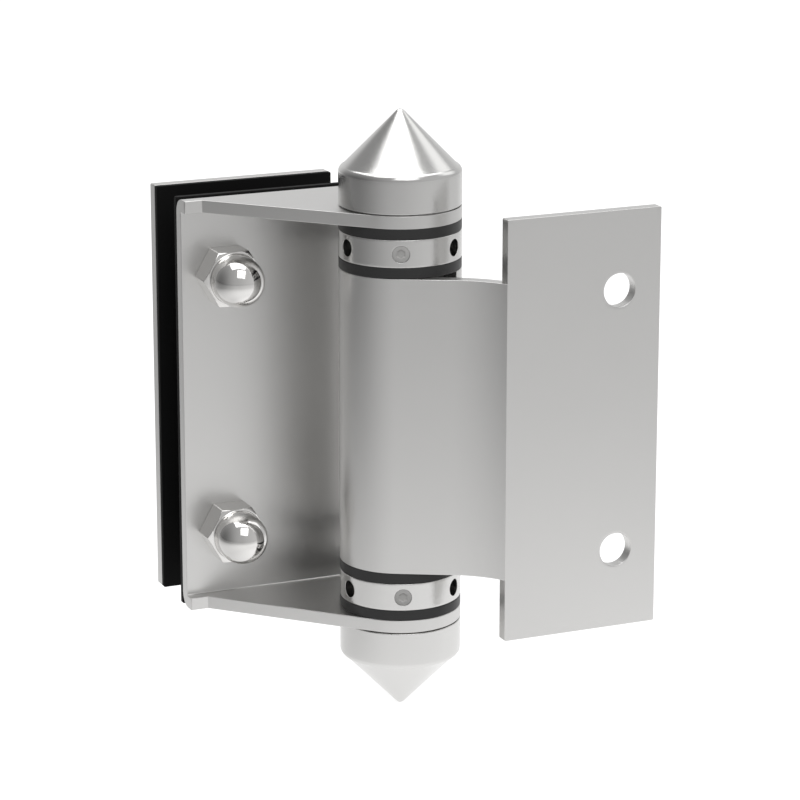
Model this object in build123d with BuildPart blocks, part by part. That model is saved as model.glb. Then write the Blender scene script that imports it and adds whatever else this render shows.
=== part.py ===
from build123d import *
from math import acos, atan2, cos, degrees, hypot, radians, sin, tan
import os

# A self-closing hinge for a glass gate. A sheet leaf screws to the post and rolls into a sprung barrel.
# A folded bracket clamps the glass and turns on the barrel's spindle. All sizes are in millimetres.
# The origin is midway between the leaf's two screw holes, on the face that lies against the post.
# +X points along the leaf away from the barrel, +Y towards the post and the glass, +Z up.

# Sheet metal
sheet = 3.0  # thickness of the leaf, the bracket and the clamp plate
edge_break = 0.25  # chamfer on the cut edges of the sheets

# Leaf that screws to the post
leaf_width = 39.0
leaf_side_gap = 0.2  # the leaf's near edge stands this far to the side of the barrel
leaf_offset = 13.2  # the leaf's front face stands this far forward of the barrel
leaf_margin = 0.25  # the leaf's ends stand this far past the bracket's arms
screw_hole_diameter = 8.0
screw_side_inset = 10.5  # from the leaf's outer edge to the holes
screw_end_inset = 18.8  # from the leaf's ends to the holes

# Barrel rolled from the leaf's sheet, and the web that joins them
barrel_radius = 14.3
barrel_length = 70.4
roll_end_angle = 41.8  # where the roll stops, from the front towards the leaf
web_lean = 27.5  # slope of the straight stretch that leaves the barrel
web_straight = 13.0

# Rings between the barrel and each arm of the bracket
bush_flange = 2.5
bush_depth = 7.0  # how far the bush reaches into the barrel
bush_wall = 1.8
collar_height = 6.5
washer_thickness = 2.45
turning_gap = 0.05  # between faces that slide on each other
running_clearance = 0.05  # on the radius, between parts that turn on each other
seat_clearance = 0.05  # on the radius, between parts that stay put
rim_break = 0.2  # chamfer on the rims of the rings

# Tension collar, its tommy-bar holes and its lock screw
bar_hole_diameter = 4.0
bar_hole_depth = 6.0
bar_hole_count = 6
upper_collar_angle = -22.7  # hole that holds the lock screw, from the front towards the leaf
lower_collar_angle = -20.6
lock_screw_recess = 0.15  # below the collar's surface
lock_screw_key = 2.0  # across the flats of its socket
lock_screw_key_depth = 2.5

# Spindle, springs and the disc that anchors them
spindle_radius = 5.0
spindle_shoulder = 1.0  # step down to the ends that pass through the arms into the caps
spindle_end_length = 12.0
spring_wire = 2.4
spring_pitch = 3.4  # the least that one turn needs
spring_leg = 3.0  # round end of the wire that stands in its hole
spring_leg_radius = 1.0
spring_clearance = 0.1
anchor_height = 9.0
anchor_key_width = 4.0
anchor_key_recess = 0.5  # the key stops this far below the barrel's surface

# Cone caps
cap_seam = 0.3  # shadow line between a cap's rim and the arm
cap_seat_inset = 4.3  # the cap's seat on the arm is this much smaller than its rim
cap_wall = 7.55  # straight side next to the rim
cap_cone = 15.0
cap_shoulder_radius = 1.5
cap_tip_radius = 1.4

# Folded bracket
bracket_width = 44.5
bracket_sideways = 0.3  # from the hinge axis to the bracket's near edge
base_gap = 10.4  # between the barrel and the base plate
arm_lip = 2.7  # the arms' end faces stand this far forward of the base plate
arm_lip_length = 4.3
bend_radius = 0.3  # inside the folds

# Glass clamp
glass_thickness = 12.0
gasket_thickness = 1.5
stud_radius = 4.0
stud_clearance = 0.25  # on the radius, in the bracket and the gaskets
stud_side_inset = 10.7  # from the bracket's far edge to the studs
stud_end_inset = 18.55  # from the bracket's ends to the studs
stud_reach = 8.0  # how far a stud screws into its nut
sleeve_clearance = 0.15  # on the radius, round a stud
sleeve_wall = 1.6

# Cap nuts
nut_across_flats = 13.0
nut_hex_height = 6.5
nut_face_diameter = 13.3  # ring left on the hexagon's front by its chamfer
nut_chamfer_angle = 30.0
nut_neck = 3.0  # straight stretch between the hexagon and the dome
nut_dome_radius = 6.0
nut_bore_end = 1.0  # room past the stud's end

# Places and sizes worked out from the ones above
barrel_bore = barrel_radius - sheet
collar_inner = barrel_length / 2 + bush_flange + turning_gap
washer_inner = collar_inner + collar_height + turning_gap
arm_inner = washer_inner + washer_thickness
arm_outer = arm_inner + sheet
bush_inner = barrel_length / 2 - bush_depth
collar_nose_radius = barrel_bore - seat_clearance - bush_wall - running_clearance
spring_radius = (spindle_radius + collar_nose_radius) / 2
spring_hole_radius = spring_leg_radius + spring_clearance
spindle_end_radius = spindle_radius - spindle_shoulder
leaf_height = 2 * (arm_outer + leaf_margin)
leaf_edge = barrel_radius + leaf_side_gap
leaf_front = -barrel_radius - leaf_offset
screw_spacing = leaf_height - 2 * screw_end_inset
axis_x = screw_side_inset - leaf_width - leaf_edge
axis_y = -leaf_front - sheet
base_front = barrel_radius + base_gap
base_back = base_front + sheet
arm_front = base_front - arm_lip
front_glass_face = base_back + gasket_thickness
rear_glass_face = front_glass_face + glass_thickness
clamp_front = rear_glass_face + gasket_thickness
clamp_back = clamp_front + sheet
near_edge = -bracket_sideways
far_edge = near_edge - bracket_width
stud_x = far_edge + stud_side_inset
stud_spacing = 2 * (arm_outer - stud_end_inset)
stud_hole_radius = stud_radius + stud_clearance
hinge = Plane(origin=(axis_x, axis_y, 0))
hinge_side = Plane(origin=(axis_x, axis_y, 0), x_dir=(0, 1, 0), z_dir=(1, 0, 0))


def around(angle, radius):
    """Point on a circle round the hinge axis, at an angle from the front towards the leaf."""
    return radius * sin(radians(angle)), -radius * cos(radians(angle))


def end_plane(side, height):
    """Level plane across the hinge axis that faces away from the middle of the barrel."""
    return Plane(origin=(axis_x, axis_y, side * height), x_dir=(1, 0, 0), z_dir=(0, 0, side))


def facing_front(x, depth):
    """Upright plane that faces the front, at a place behind the hinge axis."""
    return Plane(origin=(axis_x + x, axis_y + depth, 0), x_dir=(1, 0, 0), z_dir=(0, -1, 0))


def touch_point(corner, turn):
    """Point where a straight line from a corner touches the barrel's circle."""
    angle = atan2(corner[1], corner[0]) + turn * acos(barrel_radius / hypot(*corner))
    return barrel_radius * cos(angle), barrel_radius * sin(angle)


def wall_leaf():
    """One sheet: the flat leaf, the curved web and the rolled barrel."""
    lean = radians(web_lean)
    web_start = around(-web_lean, barrel_radius)
    bend_start = (web_start[0] + web_straight * cos(lean), web_start[1] - web_straight * sin(lean))
    leaf_corner = (leaf_edge, leaf_front)
    with BuildPart() as leaf:
        # The roll and the web, as a band of sheet seen from above
        with BuildSketch(hinge.offset(-barrel_length / 2)):
            with BuildLine():
                CenterArc((0, 0), barrel_radius, roll_end_angle - 90, 360 - roll_end_angle - web_lean)
                Line(web_start, bend_start)
                TangentArc(bend_start, leaf_corner, tangent=(cos(lean), -sin(lean)))
                offset(amount=sheet, side=Side.LEFT)
            make_face()
        extrude(amount=barrel_length)
        chamfer(leaf.edges().group_by(Axis.Z)[0], edge_break)
        chamfer(leaf.edges().group_by(Axis.Z)[-1], edge_break)
        # The flat leaf, taller than the web
        with BuildSketch(facing_front(leaf_edge + leaf_width / 2, leaf_front + sheet)):
            Rectangle(leaf_width, leaf_height)
        extrude(amount=sheet)
        front_rim = leaf.edges().filter_by(GeomType.LINE).group_by(Axis.Y)[0]
        chamfer(front_rim.filter_by(lambda edge: edge.center().X > axis_x + leaf_edge + sheet), edge_break)
        with Locations(facing_front(-axis_x, leaf_front)):
            with GridLocations(screw_spacing, screw_spacing, 1, 2):
                Hole(screw_hole_diameter / 2, depth=sheet)
    leaf.part.label = "wall_leaf"
    return leaf


def barrel_bush(end, side):
    """Plastic bush: a flange on the barrel's end and a sleeve inside the barrel."""
    with BuildPart() as bush:
        with BuildSketch(end_plane(side, barrel_length / 2)):
            Circle(barrel_radius)
        extrude(amount=bush_flange)
        chamfer(bush.edges(), rim_break)
        with BuildSketch(end_plane(side, bush_inner)):
            Circle(barrel_bore - seat_clearance)
        extrude(amount=bush_depth + bush_flange)
        with BuildSketch(end_plane(side, bush_inner)):
            Circle(collar_nose_radius + running_clearance)
        extrude(amount=bush_depth + bush_flange, mode=Mode.SUBTRACT)
    bush.part.label = f"{end}_barrel_bush"
    return bush


def tension_collar(end, side, angle):
    """Steel collar: a ring with tommy-bar holes, and a nose that turns in the bush and winds the spring."""
    with BuildPart() as collar:
        with BuildSketch(end_plane(side, collar_inner)):
            Circle(barrel_radius)
        extrude(amount=collar_height)
        chamfer(collar.edges(), rim_break)
        with BuildSketch(end_plane(side, bush_inner)):
            Circle(collar_nose_radius)
        extrude(amount=collar_inner - bush_inner + collar_height)
        # The bore that turns on the spindle
        with BuildSketch(end_plane(side, bush_inner)):
            Circle(spindle_radius + running_clearance)
        extrude(amount=collar_inner - bush_inner + collar_height, mode=Mode.SUBTRACT)
        # The hole for the spring's leg
        with BuildSketch(end_plane(side, bush_inner)):
            with Locations((spring_radius, -side * spring_wire / 2)):
                Circle(spring_hole_radius)
        extrude(amount=spring_leg + spring_clearance, mode=Mode.SUBTRACT)
        # The tommy-bar holes, one of them bored through for the lock screw
        for step in range(bar_hole_count):
            with Locations(radial_plane(side, angle + step * 360 / bar_hole_count)):
                Hole(bar_hole_diameter / 2, depth=bar_hole_depth)
        with Locations(radial_plane(side, angle)):
            Hole(bar_hole_diameter / 2, depth=barrel_radius - spindle_radius)
    collar.part.label = f"{end}_tension_collar"
    return collar


def radial_plane(side, angle):
    """Plane that touches the collar at mid height, facing outwards at an angle from the front."""
    x, y = around(angle, barrel_radius)
    height = side * (collar_inner + collar_height / 2)
    return Plane(origin=(axis_x + x, axis_y + y, height), x_dir=(0, 0, 1), z_dir=(x, y, 0))


def lock_screw(end, side, angle):
    """Grub screw that locks the collar to the spindle."""
    length = barrel_radius - lock_screw_recess - spindle_radius - running_clearance
    with BuildPart() as screw:
        with BuildSketch(radial_plane(side, angle).offset(-lock_screw_recess)):
            Circle(bar_hole_diameter / 2 - seat_clearance)
        extrude(amount=-length)
        chamfer(screw.edges(), rim_break)
        with BuildSketch(radial_plane(side, angle).offset(-lock_screw_recess)):
            RegularPolygon(lock_screw_key / 2, 6, major_radius=False)
        extrude(amount=-lock_screw_key_depth, mode=Mode.SUBTRACT)
    screw.part.label = f"{end}_lock_screw"
    return screw


def thrust_washer(end, side):
    """Plastic washer between a collar and an arm of the bracket."""
    with BuildPart() as washer:
        with BuildSketch(end_plane(side, washer_inner)):
            Circle(barrel_radius)
        extrude(amount=washer_thickness)
        chamfer(washer.edges(), rim_break)
        with Locations(end_plane(side, arm_inner)):
            Hole(spindle_radius + seat_clearance, depth=washer_thickness)
    washer.part.label = f"{end}_thrust_washer"
    return washer


def cone_cap(end, side):
    """Turned cap that screws on the spindle's end, with a rounded shoulder and tip."""
    rim = cap_seam
    shoulder = rim + cap_wall
    section = Plane(origin=(axis_x, axis_y, side * arm_outer), x_dir=(1, 0, 0), z_dir=(0, -side, 0))
    with BuildPart() as cap:
        with BuildSketch(section) as profile:
            Polygon(
                (-barrel_radius, rim),
                (barrel_radius, rim),
                (barrel_radius, shoulder),
                (0, shoulder + cap_cone),
                (-barrel_radius, shoulder),
                align=None,
            )
            fillet(profile.vertices().group_by(Axis.Y)[-1], cap_tip_radius)
            shoulders = profile.vertices().filter_by(lambda corner: abs(corner.Y - shoulder) < rim)
            fillet(shoulders, cap_shoulder_radius)
            with Locations((0, rim / 2)):
                Rectangle(2 * (barrel_radius - cap_seat_inset), rim)
            split(bisect_by=Plane.YZ)
        revolve(axis=Axis((axis_x, axis_y, 0), (0, 0, 1)))
        with BuildSketch(end_plane(side, arm_outer)):
            Circle(spindle_end_radius + seat_clearance)
        extrude(amount=spindle_end_length - sheet + seat_clearance, mode=Mode.SUBTRACT)
    cap.part.label = f"{end}_cone_cap"
    return cap


def spindle():
    """Pin through the barrel, with reduced ends that pass through the arms into the caps."""
    with BuildPart() as pin:
        with BuildSketch(hinge.offset(-arm_inner - spindle_end_length)):
            Circle(spindle_end_radius)
        extrude(amount=2 * (arm_inner + spindle_end_length))
        chamfer(pin.edges(), rim_break)
        with BuildSketch(hinge.offset(-arm_inner)):
            Circle(spindle_radius)
        extrude(amount=2 * arm_inner)
    pin.part.label = "spindle"
    return pin


def spring_anchor():
    """Disc fixed inside the barrel, with a key in the slit and a hole at each side for a spring's leg."""
    with BuildPart() as anchor:
        with BuildSketch(hinge.offset(-anchor_height / 2)):
            Circle(barrel_bore - seat_clearance)
        extrude(amount=anchor_height)
        # The key lies against the end of the roll
        x, y = around(roll_end_angle, 1)
        key_plane = Plane(origin=(axis_x, axis_y, -anchor_height / 2), x_dir=(x, y, 0), z_dir=(0, 0, 1))
        with BuildSketch(key_plane):
            with Locations((spindle_radius, -seat_clearance)):
                key_length = barrel_radius - anchor_key_recess - spindle_radius
                Rectangle(key_length, anchor_key_width, align=(Align.MIN, Align.MAX))
        extrude(amount=anchor_height)
        for side in (1, -1):
            with BuildSketch(end_plane(side, anchor_height / 2)):
                with Locations((spring_radius, side * spring_wire / 2)):
                    Circle(spring_hole_radius)
            extrude(amount=-spring_leg - spring_clearance, mode=Mode.SUBTRACT)
        with Locations(end_plane(1, anchor_height / 2)):
            Hole(spindle_radius + running_clearance, depth=anchor_height)
    anchor.part.label = "spring_anchor"
    return anchor


def torsion_spring(end, side):
    """Square-wire spring that stands between the anchor and a collar's nose, with a leg in each."""
    coil_start = anchor_height / 2 + spring_clearance + spring_wire / 2
    coil_end = bush_inner - spring_clearance - spring_wire / 2
    turns = (coil_end - coil_start) // spring_pitch
    with BuildPart() as spring:
        with BuildLine(hinge.offset(coil_start)) as coil:
            Helix((coil_end - coil_start) / turns, coil_end - coil_start, spring_radius)
        with BuildSketch(Plane(origin=coil.line @ 0, x_dir=(1, 0, 0), z_dir=coil.line % 0)):
            Rectangle(spring_wire, spring_wire)
        sweep(path=coil.line, is_frenet=True)
        with BuildSketch(hinge.offset(coil_start)):
            with Locations((spring_radius, spring_wire / 2)):
                Circle(spring_leg_radius)
        extrude(amount=-spring_leg - spring_wire / 2)
        with BuildSketch(hinge.offset(coil_end)):
            with Locations((spring_radius, -spring_wire / 2)):
                Circle(spring_leg_radius)
        extrude(amount=spring_leg + spring_wire / 2)
        # The lower spring winds the other way, so that both push the gate shut
        if side < 0:
            mirror(about=Plane.XY, mode=Mode.REPLACE)
    spring.part.label = f"{end}_torsion_spring"
    return spring


def glass_bracket():
    """Folded sheet: a base plate against the glass and two arms that reach round the hinge axis."""
    far_touch = touch_point((far_edge + arm_lip_length, arm_front), 1)
    near_touch = touch_point((near_edge, arm_front), -1)
    with BuildPart() as bracket:
        # The outline of the arms, seen from above
        with BuildSketch(hinge.offset(-arm_outer)):
            Circle(barrel_radius)
            with BuildLine():
                Polyline(
                    (0, 0),
                    near_touch,
                    (near_edge, arm_front),
                    (near_edge, base_back),
                    (far_edge, base_back),
                    (far_edge, arm_front),
                    (far_edge + arm_lip_length, arm_front),
                    far_touch,
                    close=True,
                )
            make_face()
        extrude(amount=2 * arm_outer)
        chamfer(bracket.edges().group_by(Axis.Z)[0], edge_break)
        chamfer(bracket.edges().group_by(Axis.Z)[-1], edge_break)
        # The folded section, seen from the side
        with BuildSketch(hinge_side) as section:
            with Locations(((base_back - barrel_radius) / 2, 0)):
                Rectangle(base_back + barrel_radius, 2 * arm_outer)
            fillet(section.vertices().group_by(Axis.X)[-1], bend_radius + sheet)
            with Locations(((base_front - barrel_radius) / 2, 0)):
                Rectangle(base_front + barrel_radius, 2 * arm_inner, mode=Mode.SUBTRACT)
            corners = section.vertices().filter_by(lambda corner: abs(corner.X - base_front) < bend_radius)
            fillet(corners, bend_radius)
        extrude(amount=bracket_width, both=True, mode=Mode.INTERSECT)
        with Locations(end_plane(1, arm_outer)):
            Hole(spindle_end_radius + seat_clearance, depth=2 * arm_outer)
        with Locations(facing_front(stud_x, base_front)):
            with GridLocations(stud_spacing, stud_spacing, 1, 2):
                Hole(stud_hole_radius, depth=sheet)
    bracket.part.label = "glass_bracket"
    return bracket


def clamp_sheet(label, back, thickness, hole_radius, rim):
    """Flat piece of the glass clamp with two stud holes: a gasket or the clamp plate."""
    with BuildPart() as plate:
        with BuildSketch(facing_front((near_edge + far_edge) / 2, back)):
            Rectangle(bracket_width, 2 * arm_outer)
        extrude(amount=thickness)
        chamfer(plate.edges().group_by(Axis.Y)[0], rim)
        chamfer(plate.edges().group_by(Axis.Y)[-1], rim)
        with Locations(facing_front(stud_x, back - thickness)):
            with GridLocations(stud_spacing, stud_spacing, 1, 2):
                Hole(hole_radius, depth=thickness)
    plate.part.label = label
    return plate


def stud_plane(side, depth):
    """Plane across a stud that faces the front, at a depth behind the hinge axis."""
    centre = (axis_x + stud_x, axis_y + depth, side * stud_spacing / 2)
    return Plane(origin=centre, x_dir=(1, 0, 0), z_dir=(0, -1, 0))


def clamp_stud(end, side):
    """Stud fixed flush in the clamp plate, through the glass and the base plate into its nut."""
    with BuildPart() as stud:
        with BuildSketch(stud_plane(side, clamp_back)):
            Circle(stud_radius)
        extrude(amount=clamp_back - base_front + stud_reach)
        chamfer(stud.edges(), rim_break)
    stud.part.label = f"{end}_clamp_stud"
    return stud


def glass_sleeve(end, side):
    """Plastic sleeve that keeps a stud off the glass."""
    with BuildPart() as sleeve:
        with BuildSketch(stud_plane(side, rear_glass_face)):
            Circle(stud_radius + sleeve_clearance + sleeve_wall)
            Circle(stud_radius + sleeve_clearance, mode=Mode.SUBTRACT)
        extrude(amount=glass_thickness)
    sleeve.part.label = f"{end}_glass_sleeve"
    return sleeve


def cap_nut(end, side):
    """Domed nut: a chamfered hexagon, a short neck and a half ball, bored blind for the stud."""
    seat = stud_plane(side, base_front)
    corner = nut_across_flats / 2 / cos(radians(30))
    slope = (corner - nut_face_diameter / 2) * tan(radians(nut_chamfer_angle))
    with BuildPart() as nut:
        with BuildSketch(seat):
            RegularPolygon(nut_across_flats / 2, 6, major_radius=False)
        extrude(amount=nut_hex_height)
        # A cone takes the corners off the hexagon's front
        with BuildSketch(Plane(origin=seat.origin, x_dir=(1, 0, 0), z_dir=(0, 0, 1))):
            Polygon(
                (0, 0),
                (corner, 0),
                (corner, slope - nut_hex_height),
                (nut_face_diameter / 2, -nut_hex_height),
                (0, -nut_hex_height),
                align=None,
            )
        revolve(axis=Axis(seat.origin, (0, -1, 0)), mode=Mode.INTERSECT)
        with BuildSketch(seat.offset(nut_hex_height)):
            Circle(nut_dome_radius)
        extrude(amount=nut_neck)
        with Locations(seat.offset(nut_hex_height + nut_neck)):
            Sphere(nut_dome_radius)
        with BuildSketch(seat):
            Circle(stud_radius + seat_clearance)
        extrude(amount=stud_reach + nut_bore_end, mode=Mode.SUBTRACT)
    nut.part.label = f"{end}_cap_nut"
    return nut


pieces = [
    wall_leaf(),
    spring_anchor(),
    spindle(),
    glass_bracket(),
    clamp_sheet("front_gasket", front_glass_face, gasket_thickness, stud_hole_radius, edge_break),
    clamp_sheet("rear_gasket", clamp_front, gasket_thickness, stud_hole_radius, edge_break),
    clamp_sheet("rear_clamp_plate", clamp_back, sheet, stud_radius + seat_clearance, edge_break),
]
for end, side, angle in (("upper", 1, upper_collar_angle), ("lower", -1, lower_collar_angle)):
    pieces += [
        barrel_bush(end, side),
        tension_collar(end, side, angle),
        lock_screw(end, side, angle),
        torsion_spring(end, side),
        thrust_washer(end, side),
        cone_cap(end, side),
        clamp_stud(end, side),
        glass_sleeve(end, side),
        cap_nut(end, side),
    ]

os.makedirs("parts", exist_ok=True)
for piece in pieces:
    export_step(piece.part, f"parts/{piece.part.label}.step")
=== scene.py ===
import logging
import math
from dataclasses import dataclass
from enum import Enum

import bmesh
import bpy
import numpy as np
from mathutils import Matrix, Vector

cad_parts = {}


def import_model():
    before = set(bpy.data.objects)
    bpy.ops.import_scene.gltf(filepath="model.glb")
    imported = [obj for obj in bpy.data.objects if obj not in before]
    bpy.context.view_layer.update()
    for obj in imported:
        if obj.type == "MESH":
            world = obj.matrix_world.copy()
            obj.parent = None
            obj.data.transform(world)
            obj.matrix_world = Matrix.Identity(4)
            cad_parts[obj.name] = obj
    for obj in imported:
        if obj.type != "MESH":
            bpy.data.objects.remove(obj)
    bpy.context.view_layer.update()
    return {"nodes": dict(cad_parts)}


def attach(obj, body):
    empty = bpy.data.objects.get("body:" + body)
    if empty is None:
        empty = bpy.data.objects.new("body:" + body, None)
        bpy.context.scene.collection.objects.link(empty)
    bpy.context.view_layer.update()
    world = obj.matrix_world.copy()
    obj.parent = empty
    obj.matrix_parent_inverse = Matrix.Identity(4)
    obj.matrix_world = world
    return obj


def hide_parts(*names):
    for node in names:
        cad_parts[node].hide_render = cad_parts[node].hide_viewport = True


LOG = logging.getLogger("gate_hinge")

MM = 0.001
AXIS = np.array([-43.0, 24.5, 0.0])  # the hinge axis in the row frame; sizes below are in millimetres from it
SHEET = 3.0
BARREL = 14.3
EDGE = 0.15  # round on a sheet's cut edges
PLATE_LEFT, PLATE_RIGHT, PLATE_HALF = -44.8, -0.3, 49.75  # edges and half the height of what grips the glass
CORNER_STEPS = 5  # spaces in the arc of a corner
EDGE_STEPS = 4  # and in the small round of an edge
TINY = 1e-9  # stands in for 0 where something is divided by it

Colour = tuple[float, float, float, float]
Link = "Signal | float | tuple[float, ...]"


class Tint(Enum):
    """Colours that the finishes are mixed from, in linear light."""

    STEEL = (0.68, 0.675, 0.665, 1.0)
    POLISHED = (0.80, 0.79, 0.775, 1.0)
    SPRING = (0.42, 0.41, 0.40, 1.0)
    RUBBER = (0.007, 0.007, 0.007, 1.0)
    WASHER = (0.033, 0.033, 0.033, 1.0)
    SLEEVE = (0.05, 0.05, 0.052, 1.0)
    SCREW = (0.48, 0.475, 0.465, 1.0)
    WHITE = (1.0, 1.0, 1.0, 1.0)


class Body(Enum):
    """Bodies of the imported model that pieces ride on."""

    POST = "post_side"
    GATE = "gate_side"
    UPPER_COLLAR = "upper_collar"
    LOWER_COLLAR = "lower_collar"


# ---------------------------------------------------------------------------
# Curves and surfaces, as whole arrays


def unit(angles: np.ndarray) -> np.ndarray:
    """Points on a circle of radius 1: (cos, sin) of each angle in radians."""
    return np.stack([np.cos(angles), np.sin(angles)], -1)


def bow(centre: tuple[float, float], radius: float, start: float, end: float, steps: int) -> np.ndarray:
    """Points on a circle: centre + radius * (cos, sin) of evenly spaced angles.

    Args:
        centre: the circle's centre.
        radius: its radius.
        start: first angle in degrees.
        end: last angle in degrees.
        steps: spaces between the points.

    Returns:
        The points, one row each.
    """
    return np.array(centre) + radius * unit(np.radians(np.linspace(start, end, steps + 1)))


def rounded(
    corners: list[tuple[float, float, float]], steps: int = CORNER_STEPS, closed: bool = False
) -> np.ndarray:
    """Rounds each corner of a profile with an arc that touches both of its sides.

    The arc starts radius * tan(turn / 2) before the corner and sweeps the turn about a centre on the inner side.

    Args:
        corners: x, y and radius of each corner.
        steps: spaces in each arc.
        closed: whether the last corner joins the first.

    Returns:
        The profile's points; a corner of radius 0 is repeated, and merged later.
    """
    table = np.array(corners, float)
    spots, radii = table[:, :2], table[:, 2:]
    ahead = np.roll(spots, -1, 0) - spots
    if not closed:
        ahead[-1] = ahead[-2]
    behind = np.roll(ahead, 1, 0)
    if not closed:
        behind[0] = ahead[0]
    ahead /= np.linalg.norm(ahead, axis=1, keepdims=True)
    behind /= np.linalg.norm(behind, axis=1, keepdims=True)
    turn = np.arctan2(
        behind[:, 0] * ahead[:, 1] - behind[:, 1] * ahead[:, 0],
        (behind * ahead).sum(1),
    )[:, None]
    start = spots - behind * radii * np.tan(np.abs(turn) / 2)
    left = np.stack([-behind[:, 1], behind[:, 0]], 1)
    centre = start + left * radii * np.sign(turn)
    sweep = turn * np.linspace(0.0, 1.0, steps + 1)
    arm = (start - centre)[:, None, :]
    cos, sin = np.cos(sweep)[..., None], np.sin(sweep)[..., None]
    across = np.stack([-arm[..., 1], arm[..., 0]], -1)
    return (centre[:, None, :] + arm * cos + across * sin).reshape(-1, 2)


def rim(thickness: float) -> np.ndarray:
    """Inset and depth down the edge of a sheet: a quarter round, the cut face and another quarter round.

    Args:
        thickness: of the sheet.

    Returns:
        One row of inset and depth for each line of points.
    """
    turn = np.linspace(0.0, np.pi / 2, EDGE_STEPS + 1)
    top = EDGE * np.stack([1.0 - np.sin(turn), 1.0 - np.cos(turn)], 1)
    return np.concatenate([top, top[::-1] * (1, -1) + (0, thickness)])


def inset(loop: np.ndarray, amounts: np.ndarray) -> np.ndarray:
    """Moves a closed outline inwards by each amount, with mitred corners.

    The move at a point is (n1 + n2) / (1 + n1.n2), from the left normals of the two edges that meet there.

    Args:
        loop: the outline's points, counterclockwise.
        amounts: how far to move it, one outline for each.

    Returns:
        The outlines, stacked.
    """
    edge = np.roll(loop, -1, 0) - loop
    edge /= np.linalg.norm(edge, axis=1, keepdims=True)
    normal = np.stack([-edge[:, 1], edge[:, 0]], 1)
    before = np.roll(normal, 1, 0)
    move = (normal + before) / (1.0 + (normal * before).sum(1, keepdims=True))
    return loop[None] + np.asarray(amounts)[:, None, None] * move[None]


def spread(inner: np.ndarray, outer: np.ndarray, steps: int, ease: float = 1.0) -> np.ndarray:
    """Rows of points between two matching lines: (1 - w) * inner + w * outer.

    Args:
        inner: first row.
        outer: last row, as long as the first.
        steps: spaces between the rows.
        ease: power that crowds the rows towards the first.

    Returns:
        The rows, stacked.
    """
    share = (np.linspace(0.0, 1.0, steps + 1) ** ease)[:, None, None]
    return (1.0 - share) * inner[None] + share * outer[None]


def between(start: np.ndarray, end: np.ndarray, steps: int) -> np.ndarray:
    """Evenly spaced points of the line from start to end, without the two."""
    return start + (end - start) * np.linspace(0.0, 1.0, steps + 1)[1:-1, None]


def per_row(depth: float | np.ndarray, flat: np.ndarray) -> np.ndarray:
    """A depth for each of the flat points, from one number or from one for each row."""
    depth = np.asarray(depth, float)
    return np.broadcast_to(depth.reshape(-1, 1) if depth.ndim else depth, flat.shape[:-1])


def add_object(name: str, data: bpy.types.ID) -> bpy.types.Object:
    """Puts a mesh, a lamp or a camera in the scene.

    Args:
        name: the object's name.
        data: what it holds.

    Returns:
        The object.
    """
    made = bpy.data.objects.new(name, data)
    bpy.context.scene.collection.objects.link(made)
    return made


class Shell:
    """Grids and flat faces gathered into one closed surface, then made one object."""

    MERGE = 6e-7  # metres within which points become one
    SLIVER = 1e-7  # metres, the longest edge that is taken out
    FOLD = 32.0  # degrees from which an edge is shaded sharp
    EVENNESS = 60  # how far the large faces lead the shading

    def __init__(self, name: str) -> None:
        """Starts with nothing.

        Args:
            name: the piece's name.
        """
        self.name = name
        self.points: list[np.ndarray] = []
        self.faces: list[list[int]] = []
        self.count = 0

    def keep(self, points: np.ndarray) -> int:
        """Adds points.

        Args:
            points: in any number of rows.

        Returns:
            The number of the first.
        """
        first = self.count
        self.points.append(points.reshape(-1, 3))
        self.count += len(self.points[-1])
        return first

    def grid(self, rows: np.ndarray, ring: bool = False) -> None:
        """Adds the quads between neighbouring rows and columns.

        Args:
            rows: points by row and column.
            ring: whether the last column joins the first.
        """
        first = self.keep(rows)
        down, across = rows.shape[:2]
        number = first + np.arange(down * across).reshape(down, across)
        if ring:
            number = np.concatenate([number, number[:, :1]], 1)
        quads = np.stack([number[:-1, :-1], number[:-1, 1:], number[1:, 1:], number[1:, :-1]], -1)
        self.faces += quads.reshape(-1, 4).tolist()

    def lid(self, loop: np.ndarray) -> None:
        """Closes a flat opening with one face round the loop."""
        first = self.keep(loop)
        self.faces.append(list(range(first, first + len(loop))))

    def tube(self, rows: np.ndarray) -> None:
        """Adds a ring grid with a flat face over its first and its last row.

        Args:
            rows: points by row and column.
        """
        self.grid(rows, ring=True)
        self.lid(rows[0])
        self.lid(rows[-1])

    def build(self) -> bpy.types.Object:
        """Merges the shared lines, turns the faces outwards and shades rounds smooth and folds sharp.

        Returns:
            The object, at the origin, with its place in its mesh.
        """
        spots = (np.concatenate(self.points) + AXIS) * MM
        mesh = bpy.data.meshes.new(self.name)
        mesh.from_pydata(spots.tolist(), [], self.faces)
        work = bmesh.new()
        work.from_mesh(mesh)
        bmesh.ops.remove_doubles(work, verts=work.verts, dist=self.MERGE)
        bmesh.ops.dissolve_degenerate(work, edges=work.edges, dist=self.SLIVER)
        bmesh.ops.recalc_face_normals(work, faces=work.faces)
        work.to_mesh(mesh)
        open_edges = sum(not edge.is_manifold for edge in work.edges)
        work.free()
        mesh.polygons.foreach_set("use_smooth", np.ones(len(mesh.polygons), bool))
        mesh.set_sharp_from_angle(angle=math.radians(self.FOLD))
        piece = add_object(self.name, mesh)
        shade = piece.modifiers.new("even_shading", "WEIGHTED_NORMAL")
        shade.keep_sharp, shade.weight = True, self.EVENNESS
        LOG.info("%s: %d faces, %d open edges", self.name, len(mesh.polygons), open_edges)
        return piece


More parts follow.
